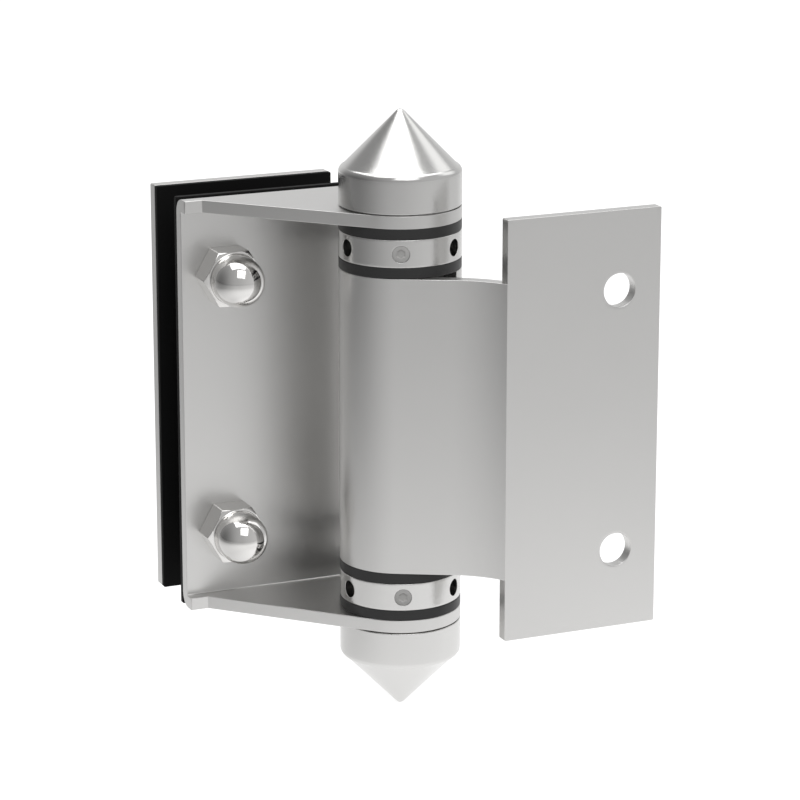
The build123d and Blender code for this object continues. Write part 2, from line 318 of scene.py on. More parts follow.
def turned(profile: np.ndarray, angles: np.ndarray) -> np.ndarray:
    """A profile of radius and height turned round the hinge axis: (r sin a, -r cos a, z).

    Args:
        profile: radius and height of each point.
        angles: in degrees, from the front towards the leaf.

    Returns:
        Points by profile point and angle.
    """
    turn = np.radians(angles)[None, :]
    radius, height = profile[:, :1], profile[:, 1:]
    return np.stack([radius * np.sin(turn), -radius * np.cos(turn), height + 0.0 * turn], -1)


def turned_piece(name: str, profile: np.ndarray, steps: int = 224, loop: bool = True) -> bpy.types.Object:
    """A profile turned into one solid piece.

    Args:
        name: the piece's name.
        profile: radius and height of each point, in order round the section.
        steps: facets round the axis.
        loop: whether the last point joins the first; if not, both are on the axis.

    Returns:
        The object.
    """
    shell = Shell(name)
    rows = turned(profile, np.arange(steps) * 360.0 / steps)
    shell.grid(np.concatenate([rows, rows[:1]]) if loop else rows, ring=True)
    return shell.build()


@dataclass(frozen=True)
class PunchedSheet:
    """Flat upright sheet with a hole near each end; the lower half mirrors the upper."""

    left: float
    right: float
    half_height: float
    front: float
    thickness: float
    hole: tuple[float, float, float]  # across, up and radius
    corner: float = 0.35
    rays: int = 97  # from the hole's centre to the upper half's edge
    ray_gap: float = 0.01  # radians that they keep from the rays at the corners
    corner_rays: int = 6  # on each side of a corner
    middle_rays: int = 24  # to the middle line
    face_steps: int = 10
    face_ease: float = 1.6

    def outline(self) -> np.ndarray:
        """The upper half's edge, counterclockwise from the right end of the middle line to the left end.

        Rays from the hole's centre are cut off at the rectangle, then points near a corner are drawn onto its arc.

        Returns:
            Points across and up.
        """
        across, up, _ = self.hole
        slip = np.linspace(0.0, 1.0, self.corner_rays) * self.corner
        top, full = 0.0 * slip + self.half_height, 2 * math.pi
        near = [np.stack([x + sign * slip, top], 1) for x, sign in ((self.right, -1), (self.left, 1))]
        near += [np.stack([0.0 * slip + x, top - slip], 1) for x in (self.right, self.left)]
        marks = np.concatenate(near) - (across, up)
        low = math.atan2(-up, self.right - across)
        high = math.atan2(-up, self.left - across) + full
        marks = np.arctan2(marks[:, 1], marks[:, 0]) % full
        marks = np.unique(np.round(np.where(marks > high + 1e-6, marks - full, marks), 7))
        rays = np.linspace(low, high, self.rays)
        apart = np.abs(rays[:, None] - marks[None]).min(1) > self.ray_gap
        angles = np.sort(np.concatenate([marks, rays[apart]]))
        cos, sin = np.cos(angles), np.sin(angles)
        reach_x = (np.where(cos > 0, self.right, self.left) - across) / np.where(np.abs(cos) < TINY, TINY, cos)
        reach_z = np.where(sin > TINY, (self.half_height - up) / np.maximum(sin, TINY), np.inf)
        reach = np.minimum(reach_x, reach_z)
        spots = np.stack([across + reach * cos, up + reach * sin], 1)
        spots[0], spots[-1] = (self.right, 0.0), (self.left, 0.0)
        core_x = np.clip(spots[:, 0], self.left + self.corner, self.right - self.corner)
        core = np.stack([core_x, np.minimum(spots[:, 1], self.half_height - self.corner)], 1)
        away = spots - core
        bent = (np.abs(away) > TINY).all(1)
        away[bent] *= self.corner / np.linalg.norm(away[bent], axis=1, keepdims=True)
        return core + away

    def place(self, flat: np.ndarray, depth: float | np.ndarray, side: int) -> np.ndarray:
        """Stands points across and up on the sheet, at a depth behind its front.

        Args:
            flat: points across and up.
            depth: one depth, or one for each row.
            side: 1, or -1 for the mirrored half.

        Returns:
            Points in three dimensions.
        """
        return np.stack([flat[..., 0], self.front + per_row(depth, flat), side * flat[..., 1]], -1)

    def fill(self, shell: Shell) -> None:
        """Adds the sheet: faces from hole to edge, the hole's wall and the outer edge.

        Args:
            shell: the surface to add to.
        """
        across, up, radius = self.hole
        edge = rim(self.thickness)
        upper = self.outline()
        loops = inset(np.concatenate([upper, upper[-2:0:-1] * (1, -1)]), edge[:, 0])
        shell.grid(self.place(loops, edge[:, 1], 1), ring=True)
        inner = loops[0][: len(upper)]
        angles = np.arctan2(inner[:, 1] - up, inner[:, 0] - across)
        gap = (angles[0] - angles[-1]) % (2 * np.pi)
        low = angles[-1] + np.linspace(0.0, gap, self.middle_rays + 2)[1:-1]
        middle = np.stack([across - up / np.tan(low), 0.0 * low], 1)
        border = np.concatenate([inner, middle])
        circle = unit(np.concatenate([angles, low]))
        wall = np.array([across, up]) + (radius + edge[:, :1])[:, None] * circle[None]
        face = spread(wall[0], border, self.face_steps, self.face_ease)
        for side in (1, -1):
            for rows, depth in ((wall, edge[:, 1]), (face, 0.0), (face, self.thickness)):
                shell.grid(self.place(rows, depth, side), ring=True)


# ---------------------------------------------------------------------------
# Shader maths


class Signal:
    """A shader socket that Python's arithmetic works on: each operator adds one Math node."""

    def __init__(self, graph: "Graph", socket: bpy.types.NodeSocket) -> None:
        """Wraps a socket of the graph.

        Args:
            graph: the node tree that the socket belongs to.
            socket: the output that carries the value.
        """
        self.graph = graph
        self.socket = socket

    def _math(self, operation: str, first: "Link", second: "Link" = 0.0) -> "Signal":
        """One Math node on two values."""
        return self.graph.node("ShaderNodeMath", {"operation": operation}, {0: first, 1: second})

    def __add__(self, other: "Link") -> "Signal":
        """self + other."""
        return self._math("ADD", self, other)

    def __radd__(self, other: "Link") -> "Signal":
        """other + self."""
        return self._math("ADD", other, self)

    def __sub__(self, other: "Link") -> "Signal":
        """self - other."""
        return self._math("SUBTRACT", self, other)

    def __rsub__(self, other: "Link") -> "Signal":
        """other - self."""
        return self._math("SUBTRACT", other, self)

    def __mul__(self, other: "Link") -> "Signal":
        """self * other."""
        return self._math("MULTIPLY", self, other)

    def __rmul__(self, other: "Link") -> "Signal":
        """other * self."""
        return self._math("MULTIPLY", other, self)

    def high(self, other: "Link") -> "Signal":
        """The larger of the two."""
        return self._math("MAXIMUM", self, other)


class Graph:
    """The node tree of a material or of the world, filled one node at a time."""

    def __init__(self, tree: bpy.types.NodeTree) -> None:
        """Empties the tree and keeps it.

        Args:
            tree: the node tree to fill.
        """
        self.tree = tree
        tree.nodes.clear()

    def node(
        self,
        kind: str,
        settings: dict[str, object] | None = None,
        inputs: dict[int | str, "Link"] | None = None,
        output: int | str = 0,
    ) -> "Signal | None":
        """Adds a node, sets its settings, then its sockets.

        Args:
            kind: the node's type, such as ShaderNodeMath.
            settings: its own properties, by name.
            inputs: values or signals by socket name or number.
            output: which output to hand back.

        Returns:
            The chosen output, or None for a node that has none.
        """
        made = self.tree.nodes.new(kind)
        for name, value in (settings or {}).items():
            setattr(made, name, value)
        for name, value in (inputs or {}).items():
            if isinstance(value, Signal):
                self.tree.links.new(value.socket, made.inputs[name])
            else:
                made.inputs[name].default_value = value
        return Signal(self, made.outputs[output]) if made.outputs else None

    def place(self, stretch: tuple[float, float, float] = (1.0, 1.0, 1.0), centre: np.ndarray | None = None) -> Signal:
        """Object coordinates, moved so that a place on the object is their origin, then stretched.

        Args:
            stretch: scale of the pattern along each axis.
            centre: the place in millimetres, or None for the row frame's origin.

        Returns:
            The coordinates.
        """
        where = self.node("ShaderNodeTexCoord", output="Object")
        shift = np.zeros(3) if centre is None else -np.asarray(centre) * MM * np.asarray(stretch)
        return self.node("ShaderNodeMapping", {}, {"Vector": where, "Location": tuple(shift), "Scale": stretch})

    def vector(self, operation: str, output: str, *values: "Link") -> Signal:
        """One Vector Math node."""
        return self.node("ShaderNodeVectorMath", {"operation": operation}, dict(enumerate(values)), output)

    def dot(self, first: Signal, second: tuple[float, float, float]) -> Signal:
        """Dot product of two vectors."""
        return self.vector("DOT_PRODUCT", "Value", first, second)

    def ease(self, value: Signal, low: float, high: float) -> Signal:
        """0 up to low, 1 from high on, and a smooth step between."""
        inputs = {"Value": value, "From Min": low, "From Max": high}
        return self.node("ShaderNodeMapRange", {"interpolation_type": "SMOOTHSTEP"}, inputs)

    def by_ray(self, seen: float, mirrored: "Link", cast: float) -> Signal:
        """One strength for rays from the camera, one for glossy and transmission rays and one for all others.

        Args:
            seen: for the camera.
            mirrored: for glossy and transmission rays.
            cast: for the others.

        Returns:
            The strength.
        """
        camera, glossy, clear = (
            self.node("ShaderNodeLightPath", output=name)
            for name in ("Is Camera Ray", "Is Glossy Ray", "Is Transmission Ray")
        )
        mirror = glossy.high(clear) * (1.0 - camera)
        return camera * seen + mirror * mirrored + (1.0 - camera.high(mirror)) * cast

    def noise(self, where: Signal, scale: float, detail: float = 2.0, roughness: float = 0.5) -> Signal:
        """Noise between 0 and 1 at a scale in lumps per metre.

        Args:
            where: the coordinates.
            scale: lumps per metre before any stretch.
            detail: how many finer layers lie on it.
            roughness: how strong the finer layers are.

        Returns:
            The noise.
        """
        inputs = {"Vector": where, "Scale": scale, "Detail": detail, "Roughness": roughness}
        return self.node("ShaderNodeTexNoise", {}, inputs)

    def mix(self, factor: "Link", first: "Link", second: "Link") -> Signal:
        """Colour between two colours.

        Args:
            factor: 0 for the first, 1 for the second.
            first: colour or signal.
            second: colour or signal.

        Returns:
            The colour.
        """
        inputs = {"Factor": factor, 6: first, 7: second}
        return self.node("ShaderNodeMix", {"data_type": "RGBA"}, inputs, output=2)

    def bump(self, height: Signal, distance: float) -> Signal:
        """Normal bent by a height from 0 to 1, which stands for the distance in metres."""
        return self.node("ShaderNodeBump", {}, {"Height": height, "Distance": distance, "Strength": 1.0})


def new_material(name: str) -> tuple[bpy.types.Material, Graph]:
    """Makes a material without nodes.

    Args:
        name: the material's name.

    Returns:
        The material and its node tree.
    """
    made = bpy.data.materials.new(name)
    made.use_nodes = True
    return made, Graph(made.node_tree)


class Finish:
    """A named surface finish; each kind fills in its own Principled shader."""

    name: str

    def sockets(self, graph: Graph) -> dict[str, "Link"]:
        """The Principled shader's sockets, by name."""
        raise NotImplementedError

    def material(self) -> bpy.types.Material:
        """Makes this finish's Blender material once, to be shared.

        Returns:
            The material.
        """
        found = bpy.data.materials.get(self.name)
        if found:
            return found
        made, graph = new_material(self.name)
        shader = graph.node("ShaderNodeBsdfPrincipled", {}, self.sockets(graph))
        graph.node("ShaderNodeOutputMaterial", {}, {"Surface": shader})
        return made

    def dress(self, piece: bpy.types.Object) -> None:
        """Gives a piece this finish alone."""
        piece.data.materials.clear()
        piece.data.materials.append(self.material())


@dataclass(frozen=True)
class SatinSteel(Finish):
    """Stainless steel with a fine one-way grain and faint clouds."""

    name: str
    grain: tuple[float, float, float] = (1.0, 1.0, 30.0)  # the grain lies across the axes that are stretched
    tint: Colour = Tint.STEEL.value
    roughness: float = 0.32
    cloud: float = 0.06  # how much darker the darkest clouds are
    lines: float = 900.0  # per metre, before the stretch
    lumps: float = 45.0  # clouds per metre
    groove: float = 0.00001  # depth of the grain in metres

    def sockets(self, graph: Graph) -> dict[str, "Link"]:
        """Grain is noise squeezed across its run; it bends the normal and shifts the roughness a little.

        Args:
            graph: the material's nodes.

        Returns:
            The shader's sockets, by name.
        """
        lines = graph.noise(graph.place(self.grain), self.lines, 3.0, 0.6)
        clouds = graph.noise(graph.place(), self.lumps)
        dark = tuple(c * (1.0 - self.cloud) for c in self.tint[:3]) + (1.0,)
        return {
            "Base Color": graph.mix(clouds * 0.6 + lines * 0.4, dark, self.tint),
            "Metallic": 1.0,
            "Roughness": self.roughness - 0.06 + lines * 0.08 + clouds * 0.04,
            "Normal": graph.bump(lines, self.groove),
        }


@dataclass(frozen=True)
class Moulded(Finish):
    """Matt rubber, plastic or dull screw face with a fine pebbled skin."""

    name: str
    tint: Colour
    roughness: float = 0.5
    shine: float = 0.3
    pebbles: float = 2600.0  # per metre
    pebble_height: float = 0.00002  # metres
    lumps: float = 120.0  # clouds per metre
    paler: float = 1.25  # how much paler the palest clouds are

    def sockets(self, graph: Graph) -> dict[str, "Link"]:
        """Fine noise dents the skin and clouds it.

        Args:
            graph: the material's nodes.

        Returns:
            The shader's sockets, by name.
        """
        skin = graph.noise(graph.place(), self.pebbles, 3.0)
        clouds = graph.noise(graph.place(), self.lumps)
        pale = tuple(min(1.0, c * self.paler) for c in self.tint[:3]) + (1.0,)
        return {
            "Base Color": graph.mix(clouds, self.tint, pale),
            "Roughness": self.roughness + skin * 0.1 - 0.05,
            "Specular IOR Level": self.shine,
            "Normal": graph.bump(skin, self.pebble_height),
        }


class Skin(Enum):
    """The finishes of this object's pieces."""

    SHEET = SatinSteel("satin_sheet")
    BRACKET = SatinSteel("satin_bracket", (1.0, 30.0, 30.0))
    TURNED = SatinSteel("turned_steel", roughness=0.18)
    POLISHED = SatinSteel("polished_nut", (1.0, 1.0, 1.0), Tint.POLISHED.value, 0.1)
    WIRE = SatinSteel("wound_steel", (1.0, 1.0, 1.0), Tint.SPRING.value, 0.35)
    SCREW = Moulded("dull_screw_face", Tint.SCREW.value, 0.6)
    RUBBER = Moulded("black_rubber", Tint.RUBBER.value, 0.6, 0.1)
    PLASTIC = Moulded("dark_plastic", Tint.WASHER.value, 0.4)
    SLEEVE = Moulded("smooth_plastic", Tint.SLEEVE.value, 0.4)


# ---------------------------------------------------------------------------
# Sub-assemblies


@dataclass
class Assembly:
    """A group of pieces; it knows the CAD nodes and hands each piece its finish and body."""

    nodes: dict[str, bpy.types.Object]

    def settle(self, piece: bpy.types.Object, skin: Skin, slot: str, body: Body, node: str) -> None:
        """Dresses a new piece and puts it in place of a CAD node.

        Args:
            piece: the new piece.
            skin: its finish.
            slot: the record's material slot; not used.
            body: the body that it rides on.
            node: the CAD node that it stands for.
        """
        skin.value.dress(piece)
        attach(piece, body.value)
        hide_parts(node)

    def dress(self, skin: Skin, slot: str, *names: str) -> None:
        """Gives CAD nodes that stay as they are their finish.

        Args:
            skin: the finish.
            slot: the record's material slot; not used.
            names: the nodes.
        """
        for name in names:
            skin.value.dress(self.nodes[name])
            LOG.info("%s: CAD node in %s", name, skin.value.name)


@dataclass
class Inside(Assembly):
    """What turns and pushes inside the barrel: spindle, springs and the disc that anchors them."""

    def build(self) -> None:
        """Dresses the inner nodes."""
        self.dress(Skin.TURNED, "spindle_steel", "spindle")
        self.dress(Skin.WIRE, "spring_steel", "upper_torsion_spring", "lower_torsion_spring")
        self.dress(Skin.TURNED, "anchor_steel", "spring_anchor")


@dataclass
class WallLeaf(Assembly):
    """One sheet: the flat leaf, the curved web and the rolled barrel."""

    roll_end: float = 41.8  # degrees from the front, where the roll stops short of the web
    web_lean: float = 27.5
    web_straight: float = 13.0
    half_height: float = 35.2
    corner: tuple[float, float] = (14.5, -27.5)
    buried: tuple[float, float] = (14.85, -27.494)  # the web's end inside the leaf
    leaf: PunchedSheet = PunchedSheet(14.5, 53.5, 50.0, -27.5, SHEET, (43.0, 31.2, 4.0))
    roll_steps: int = 150
    straight_steps: int = 8
    bend_steps: int = 24

    def course(self) -> tuple[np.ndarray, np.ndarray]:
        """The band's outer line from the roll's end to the leaf's corner, seen from above.

        A circle round the axis, then its tangent, then the arc that touches the tangent and ends at the corner.

        Returns:
            The points, and at each the unit vector into the sheet.
        """
        lean = math.radians(-self.web_lean)
        roll = bow((0.0, 0.0), BARREL, self.roll_end - 90.0, 270.0 - self.web_lean, self.roll_steps)
        along = np.array([math.cos(lean), math.sin(lean)])
        left = np.array([-along[1], along[0]])
        tangent = roll[-1] + along * np.linspace(0.0, self.web_straight, self.straight_steps + 1)[1:, None]
        chord = np.array(self.corner) - tangent[-1]
        bend = 2.0 * (math.atan2(chord[1], chord[0]) - lean)
        radius = math.hypot(*chord) / 2.0 / math.sin(abs(bend) / 2.0)
        turn = lean + bend * np.linspace(0.0, 1.0, self.bend_steps + 1)[1:]
        centre = tangent[-1] - left * radius
        arc_left = np.stack([-np.sin(turn), np.cos(turn)], 1)
        points = np.concatenate([roll, tangent, centre + radius * arc_left])
        inward = np.concatenate([-roll / BARREL, np.repeat(left[None], self.straight_steps, 0), arc_left])
        return points, inward

    def band(self, shell: Shell) -> None:
        """A rounded rectangle carried along the course: point + inward * depth, at its height.

        The roll's end is rounded by shrinking the rectangle over the first rows. The other end is buried in the leaf.

        Args:
            shell: the surface to add to.
        """
        points, inward = self.course()
        ahead = np.array([inward[0, 1], -inward[0, 0]])
        rows = [
            self.carry(points[0] + ahead * depth, inward[0], self.section(amount))
            for amount, depth in rim(SHEET)[: EDGE_STEPS + 1]
        ]
        past = np.linalg.norm(points - points[0], axis=1) > EDGE * 1.5
        section = self.section(0.0)
        body = self.carry(points[past][:, None], inward[past][:, None], section[None])
        tip = self.carry(np.array(self.buried), np.array([0.0, 1.0]), section * (0.1, 1.0))
        shell.tube(np.concatenate([np.stack(rows), body, tip[None]]))

    def section(self, amount: float) -> np.ndarray:
        """The sheet's cut section, a rounded rectangle.

        Args:
            amount: how far it is shrunk, up to the round's radius.

        Returns:
            Depth and height of the points round it.
        """
        low, high, tall = amount, SHEET - amount, self.half_height - amount
        ease = EDGE - amount + 1e-3  # never 0, so that all sections have points in a round
        corners = [(low, -tall, ease), (high, -tall, ease), (high, tall, ease), (low, tall, ease)]
        return rounded(corners, EDGE_STEPS, closed=True)

    def carry(self, point: np.ndarray, inward: np.ndarray, section: np.ndarray) -> np.ndarray:
        """Sets a section at a point of the course.

        Args:
            point: the place seen from above.
            inward: the unit vector into the sheet there.
            section: depth and height of each point.

        Returns:
            The section's points in three dimensions.
        """
        flat = point + inward * section[..., :1]
        height = np.broadcast_to(section[..., 1:], flat[..., :1].shape)
        return np.concatenate([flat, height], -1)

    def build(self) -> None:
        """Makes the leaf with its web and barrel."""
        shell = Shell("leaf_sheet")
        self.band(shell)
        self.leaf.fill(shell)
        self.settle(shell.build(), Skin.SHEET, "leaf_steel", Body.POST, "wall_leaf")


@dataclass
class GlassBracket(Assembly):
    """Folded sheet: a base plate on the glass and two arms that reach round the hinge axis."""

    near: float = PLATE_RIGHT
    far: float = PLATE_LEFT
    half_height: float = PLATE_HALF
    arm_front: float = 22.0
    arm_end: float = 24.0
    lip: float = 4.3
    corner: float = 0.3
    fold_start: float = 24.4
    fold_radius: float = 3.3
    arc_steps: int = 44
    slope_steps: int = 8
    fold_steps: int = 12
    base_steps: int = 6
    face_steps: int = 14

    def touch(self, corner: np.ndarray, turn: float) -> float:
        """Angle, in degrees, where a line from a corner touches the barrel's circle.

        Args:
            corner: the line's start.
            turn: 1 or -1 for the two touching lines.

        Returns:
            The angle about the axis.
        """
        reach = math.acos(BARREL / np.linalg.norm(corner))
        return math.degrees(math.atan2(corner[1], corner[0]) + turn * reach) % 360.0

    def chains(self) -> tuple[np.ndarray, np.ndarray]:
        """The left and the right edge of an arm and half the base, unrolled, from the arm's tip inwards.

        Both have the same number of points, so that rows can join them. The second number is the place along the
        sheet: the depth behind the axis on the arm, then the arc length round the fold, then the way down the base.

        Returns:
            The left and the right edge.
        """
        lip_end, near = np.array([[self.far + self.lip, self.arm_front], [self.near, self.arm_front]])
        left_arc = bow((0, 0), BARREL, 270.0, self.touch(lip_end, 1.0), self.arc_steps)
        right_arc = bow((0, 0), BARREL, -90.0, self.touch(near, -1.0), self.arc_steps)
        far_corner, ease = (self.far, self.arm_front, self.corner), self.corner
        inner = slice(CORNER_STEPS + 1, -CORNER_STEPS - 1)  # leaves out both ends, which rounded repeats
        left_turns = rounded([(*left_arc[-1], 0), (*lip_end, ease), far_corner, (self.far, self.fold_start, 0)])[inner]
        right_turn = rounded([(*right_arc[-1], 0), (*near, ease), (self.near, self.fold_start, 0)])[inner]
        # As many points as the left edge's second corner has
        share = np.linspace(0.0, 1.0, CORNER_STEPS + 2)[1:, None]
        rest = right_turn[-1] + (np.array([self.near, self.arm_end]) - right_turn[-1]) * share
        left = [left_arc, between(left_arc[-1], left_turns[0], self.slope_steps), left_turns]
        right = [right_arc, between(right_arc[-1], near, self.slope_steps), right_turn, rest]
        fold, base = self.fold_radius * np.pi / 2, self.half_height - self.fold_radius
        way = self.fold_start + np.concatenate(
            [np.linspace(0.0, fold, self.fold_steps + 1), fold + np.linspace(0.0, base, self.base_steps + 1)[1:]]
        )
        left.append(np.stack([0.0 * way + self.far, way], 1))
        right.append(np.stack([0.0 * way + self.near, way], 1))
        return np.concatenate(left), np.concatenate(right)

    def fold(self, flat: np.ndarray, depth: np.ndarray | float, side: int) -> np.ndarray:
        """Folds unrolled points: flat on the arm, turned round the fold's centre, flat down the base.

        With a turn of (way - start) / radius and a reach of radius - depth, a point of the fold lies at
        start + reach * sin(turn) behind the axis and reach * cos(turn) above the fold's centre.

        Args:
            flat: points across and along the sheet.
            depth: below the sheet's outer face.
            side: 1 for the upper arm, -1 for the lower.

        Returns:
            Points in three dimensions.
        """
        depth = per_row(depth, flat)
        way = flat[..., 1]
        turn = np.clip((way - self.fold_start) / self.fold_radius, 0.0, np.pi / 2)
        reach = self.fold_radius - depth
        down = np.maximum(way - self.fold_start - self.fold_radius * np.pi / 2, 0.0)
        back = np.minimum(way, self.fold_start) + reach * np.sin(turn)
        height = self.half_height - self.fold_radius + reach * np.cos(turn) - down
        return np.stack([flat[..., 0], back, side * height], -1)

    def build(self) -> None:
        """Makes the bracket: its edges from the outline's insets, its two faces from rows across."""
        left, right = self.chains()
        edge, count = rim(SHEET), len(right)
        # Each edge with its mirror image past the base's middle, so that the insets end square there
        whole = [np.concatenate([part, (part * (1, -1) + (0, 2 * part[-1, 1]))[::-1][1:]]) for part in (right, left)]
        loops = inset(np.concatenate([whole[0], whole[1][::-1][1:-1]]), edge[:, 0])
        rights = loops[:, :count]
        lefts = np.concatenate([loops[:, :1], loops[:, ::-1][:, : count - 1]], 1)
        face = spread(lefts[0], rights[0], self.face_steps).transpose(1, 0, 2)
        shell = Shell("bracket_sheet")
        for side in (1, -1):
            for rows, depth in ((rights, edge[:, 1]), (lefts, edge[:, 1]), (face, 0.0), (face, SHEET)):
                shell.grid(self.fold(rows, depth, side))
        self.settle(shell.build(), Skin.BRACKET, "bracket_steel", Body.GATE, "glass_bracket")


@dataclass
class BarrelEnd(Assembly):
    """What is stacked on one end of the barrel: bush, collar with its lock screw, washer and cone cap."""

    name: str
    side: int
    first_hole: float  # degrees from the front to the lock screw's hole
    collar_body: Body
    turned_edge: float = 0.2  # round on the turned edges
    bored_edge: float = 0.1  # and on those of the bores
    bush_bore: float = 9.45
    bush_sleeve: float = 11.25
    bush_heights: tuple[float, float, float] = (28.2, 35.2, 37.7)  # the sleeve's end, and the flange's two sides
    spindle_bore: float = 5.05  # in washer and collar
    washer_heights: tuple[float, float] = (44.3, 46.75)
    collar_middle: float = 41.0
    collar_half: float = 3.25
    nose_radius: float = 9.4
    nose_end: float = -12.8  # from the collar's middle
    holes: int = 6
    hole_radius: float = 2.0
    hole_edge: float = 0.12
    hole_depth: float = 6.0
    screw_hole_depth: float = 9.2
    hole_steps: tuple[int, int, int] = (60, 16, 7)  # along and up the rectangle round a hole, and out to it
    hole_ease: float = 1.4
    screw_depth: float = 0.12  # of its face in the hole
    screw_points: int = 96
    cap_bore: tuple[float, float] = (4.05, 58.8)  # radius and depth
    cap_seat: float = 13.0
    cap_foot: float = 50.05
    shoulder: float = 57.57
    swell: float = 1.6
    swell_end: float = 70.0  # degrees round the shoulder's arc
    tip: float = 71.97
    ball: float = 1.4
    cap_steps: tuple[int, int, int] = (12, 8, 256)  # in the two arcs, down the cone and round the axis

    def flip(self, profile: np.ndarray) -> np.ndarray:
        """Mirrors a profile of radius and height to this end."""
        return profile * (1.0, float(self.side))

    def bush(self) -> None:
        """Flange on the barrel's end and sleeve inside it."""
        (end, flange, top), ease = self.bush_heights, self.turned_edge
        corners = [
            (self.bush_bore, end, self.bored_edge), (self.bush_sleeve, end, 0.3), (self.bush_sleeve, flange, 0),
            (BARREL, flange, EDGE), (BARREL, top, ease), (self.bush_bore, top, ease),
        ]
        piece = turned_piece(f"{self.name}_bush", self.flip(rounded(corners, EDGE_STEPS, closed=True)))
        self.settle(piece, Skin.PLASTIC, "bush_plastic", Body.POST, f"{self.name}_barrel_bush")

    def washer(self) -> None:
        """Flat washer under the arm."""
        (low, high), bore, ease = self.washer_heights, self.bored_edge, self.turned_edge
        corners = [(self.spindle_bore, low, bore), (BARREL, low, ease), (BARREL, high, ease)]
        corners += [(self.spindle_bore, high, bore)]
        piece = turned_piece(f"{self.name}_washer", self.flip(rounded(corners, EDGE_STEPS, closed=True)))
        self.settle(piece, Skin.PLASTIC, "washer_plastic", Body.GATE, f"{self.name}_thrust_washer")

    def cap(self) -> None:
        """Cone cap: seat, seam, straight side, bulging shoulder, cone and the ball that touches it at the tip.

        The shoulder is an arc that stops before it is level, so the cone starts from a faint crease. The cone is the
        line from there that touches the ball: asin(ball / reach) steeper than the line to the ball's centre.
        """
        arcs, down, around = self.cap_steps
        (bore, depth), ease, centre = self.cap_bore, self.turned_edge, self.tip - self.ball
        bulge = bow((BARREL - self.swell, self.shoulder), self.swell, 0.0, self.swell_end, arcs)
        run, rise = bulge[-1, 0], centre - bulge[-1, 1]
        lean = math.pi / 2 - math.atan2(rise, run) - math.asin(self.ball / math.hypot(run, rise))
        crown = bow((0.0, centre), self.ball, math.degrees(lean), 90.0, arcs)
        seat = self.cap_seat
        corners = [
            (0.0, depth, 0), (bore, depth, ease), (bore, PLATE_HALF, ease), (seat, PLATE_HALF, self.bored_edge),
            (seat, self.cap_foot, 0), (BARREL, self.cap_foot, ease), (BARREL, self.shoulder - 1.0, 0),
        ]
        profile = np.concatenate([rounded(corners, 8), bulge, between(bulge[-1], crown[0], down), crown])
        piece = turned_piece(f"{self.name}_cap", self.flip(profile), around, loop=False)
        self.settle(piece, Skin.TURNED, "cap_steel", Body.GATE, f"{self.name}_cone_cap")

    def collar(self) -> None:
        """Ring with blind holes round it and a nose that turns in the bush.

        Round each hole the ring's outside is a sheet of rows from the hole's rim to a rectangle, wrapped round the
        axis. A hole's own points are cut from the cylinder: at t beside its middle they lie sqrt(R^2 - t^2) from the
        axis along the hole.
        """
        ease, half, bore = self.turned_edge, self.collar_half, self.spindle_bore
        width, height = BARREL * math.pi / self.holes, half - ease
        wide, tall, out = self.hole_steps
        along, up = np.linspace(-width, width, wide + 1), np.linspace(-height, height, tall + 1)
        top = np.stack([along[::-1], 0.0 * along + height], 1)[:-1]
        side = np.stack([0.0 * up - width, up[::-1]], 1)[:-1]
        border = np.concatenate([top, side, -top, -side])
        circle = unit(np.arctan2(border[:, 1], border[:, 0]))
        turn = np.linspace(0.0, np.pi / 2, EDGE_STEPS + 1)
        radii = self.hole_radius + self.hole_edge * (1.0 - np.sin(turn))
        drops = self.hole_edge * (1.0 - np.cos(turn))
        start = radii[0] * circle
        start[:, 0] = BARREL * np.arcsin(start[:, 0] / BARREL)
        outside = spread(start, border, out, self.hole_ease)
        flat = radii[:, None, None] * circle[None]
        reach = np.sqrt(BARREL**2 - flat[..., 0] ** 2) - drops[:, None]
        flat = np.concatenate([flat, flat[-1:], 0.02 * flat[-1:]])
        shell = Shell(f"{self.name}_collar")
        middles = self.first_hole + np.arange(self.holes) * 360.0 / self.holes
        depths = [self.screw_hole_depth] + [self.hole_depth] * (self.holes - 1)
        for middle, depth in zip(middles, depths):
            spots = turned(np.array([[BARREL, 0.0]]), middle + np.degrees(outside[..., 0] / BARREL).ravel())[0]
            spots = spots.reshape(*outside.shape[:2], 3)
            spots[..., 2] = outside[..., 1]
            shell.grid(self.raise_to_ring(spots), ring=True)
            ends = BARREL - np.repeat([[depth], [depth + 0.01]], len(circle), 1)
            wall = self.raise_to_ring(self.bore(flat, np.concatenate([reach, ends]), middle))
            shell.grid(wall, ring=True)
            shell.lid(wall[-1])
        angles = (middles[:, None] + np.degrees(along[:-1] / BARREL)).ravel()
        corners = [
            (BARREL, height, 0), (BARREL, half, ease), (bore, half, ease),
            (bore, self.nose_end, self.bored_edge), (self.nose_radius, self.nose_end, ease),
            (self.nose_radius, -half, 0), (BARREL, -half, ease), (BARREL, -height, 0),
        ]
        shell.grid(self.raise_to_ring(turned(rounded(corners, EDGE_STEPS), angles)), ring=True)
        self.settle(shell.build(), Skin.TURNED, "collar_steel", self.collar_body, f"{self.name}_tension_collar")

    def raise_to_ring(self, points: np.ndarray) -> np.ndarray:
        """Points given about the collar's middle, moved to this end and mirrored at the lower one."""
        return (points + (0.0, 0.0, self.collar_middle)) * (1.0, 1.0, float(self.side))

    def bore(self, flat: np.ndarray, reach: np.ndarray, angle: float) -> np.ndarray:
        """Points of a hole: reach along its direction, the first number beside it, the second up.

        Args:
            flat: beside and up.
            reach: distance from the hinge axis along the hole.
            angle: the hole's direction in degrees, from the front towards the leaf.

        Returns:
            Points in three dimensions.
        """
        sin, cos = math.sin(math.radians(angle)), math.cos(math.radians(angle))
        beside = flat[..., 0]
        return np.stack([reach * sin + beside * cos, -reach * cos + beside * sin, flat[..., 1]], -1)

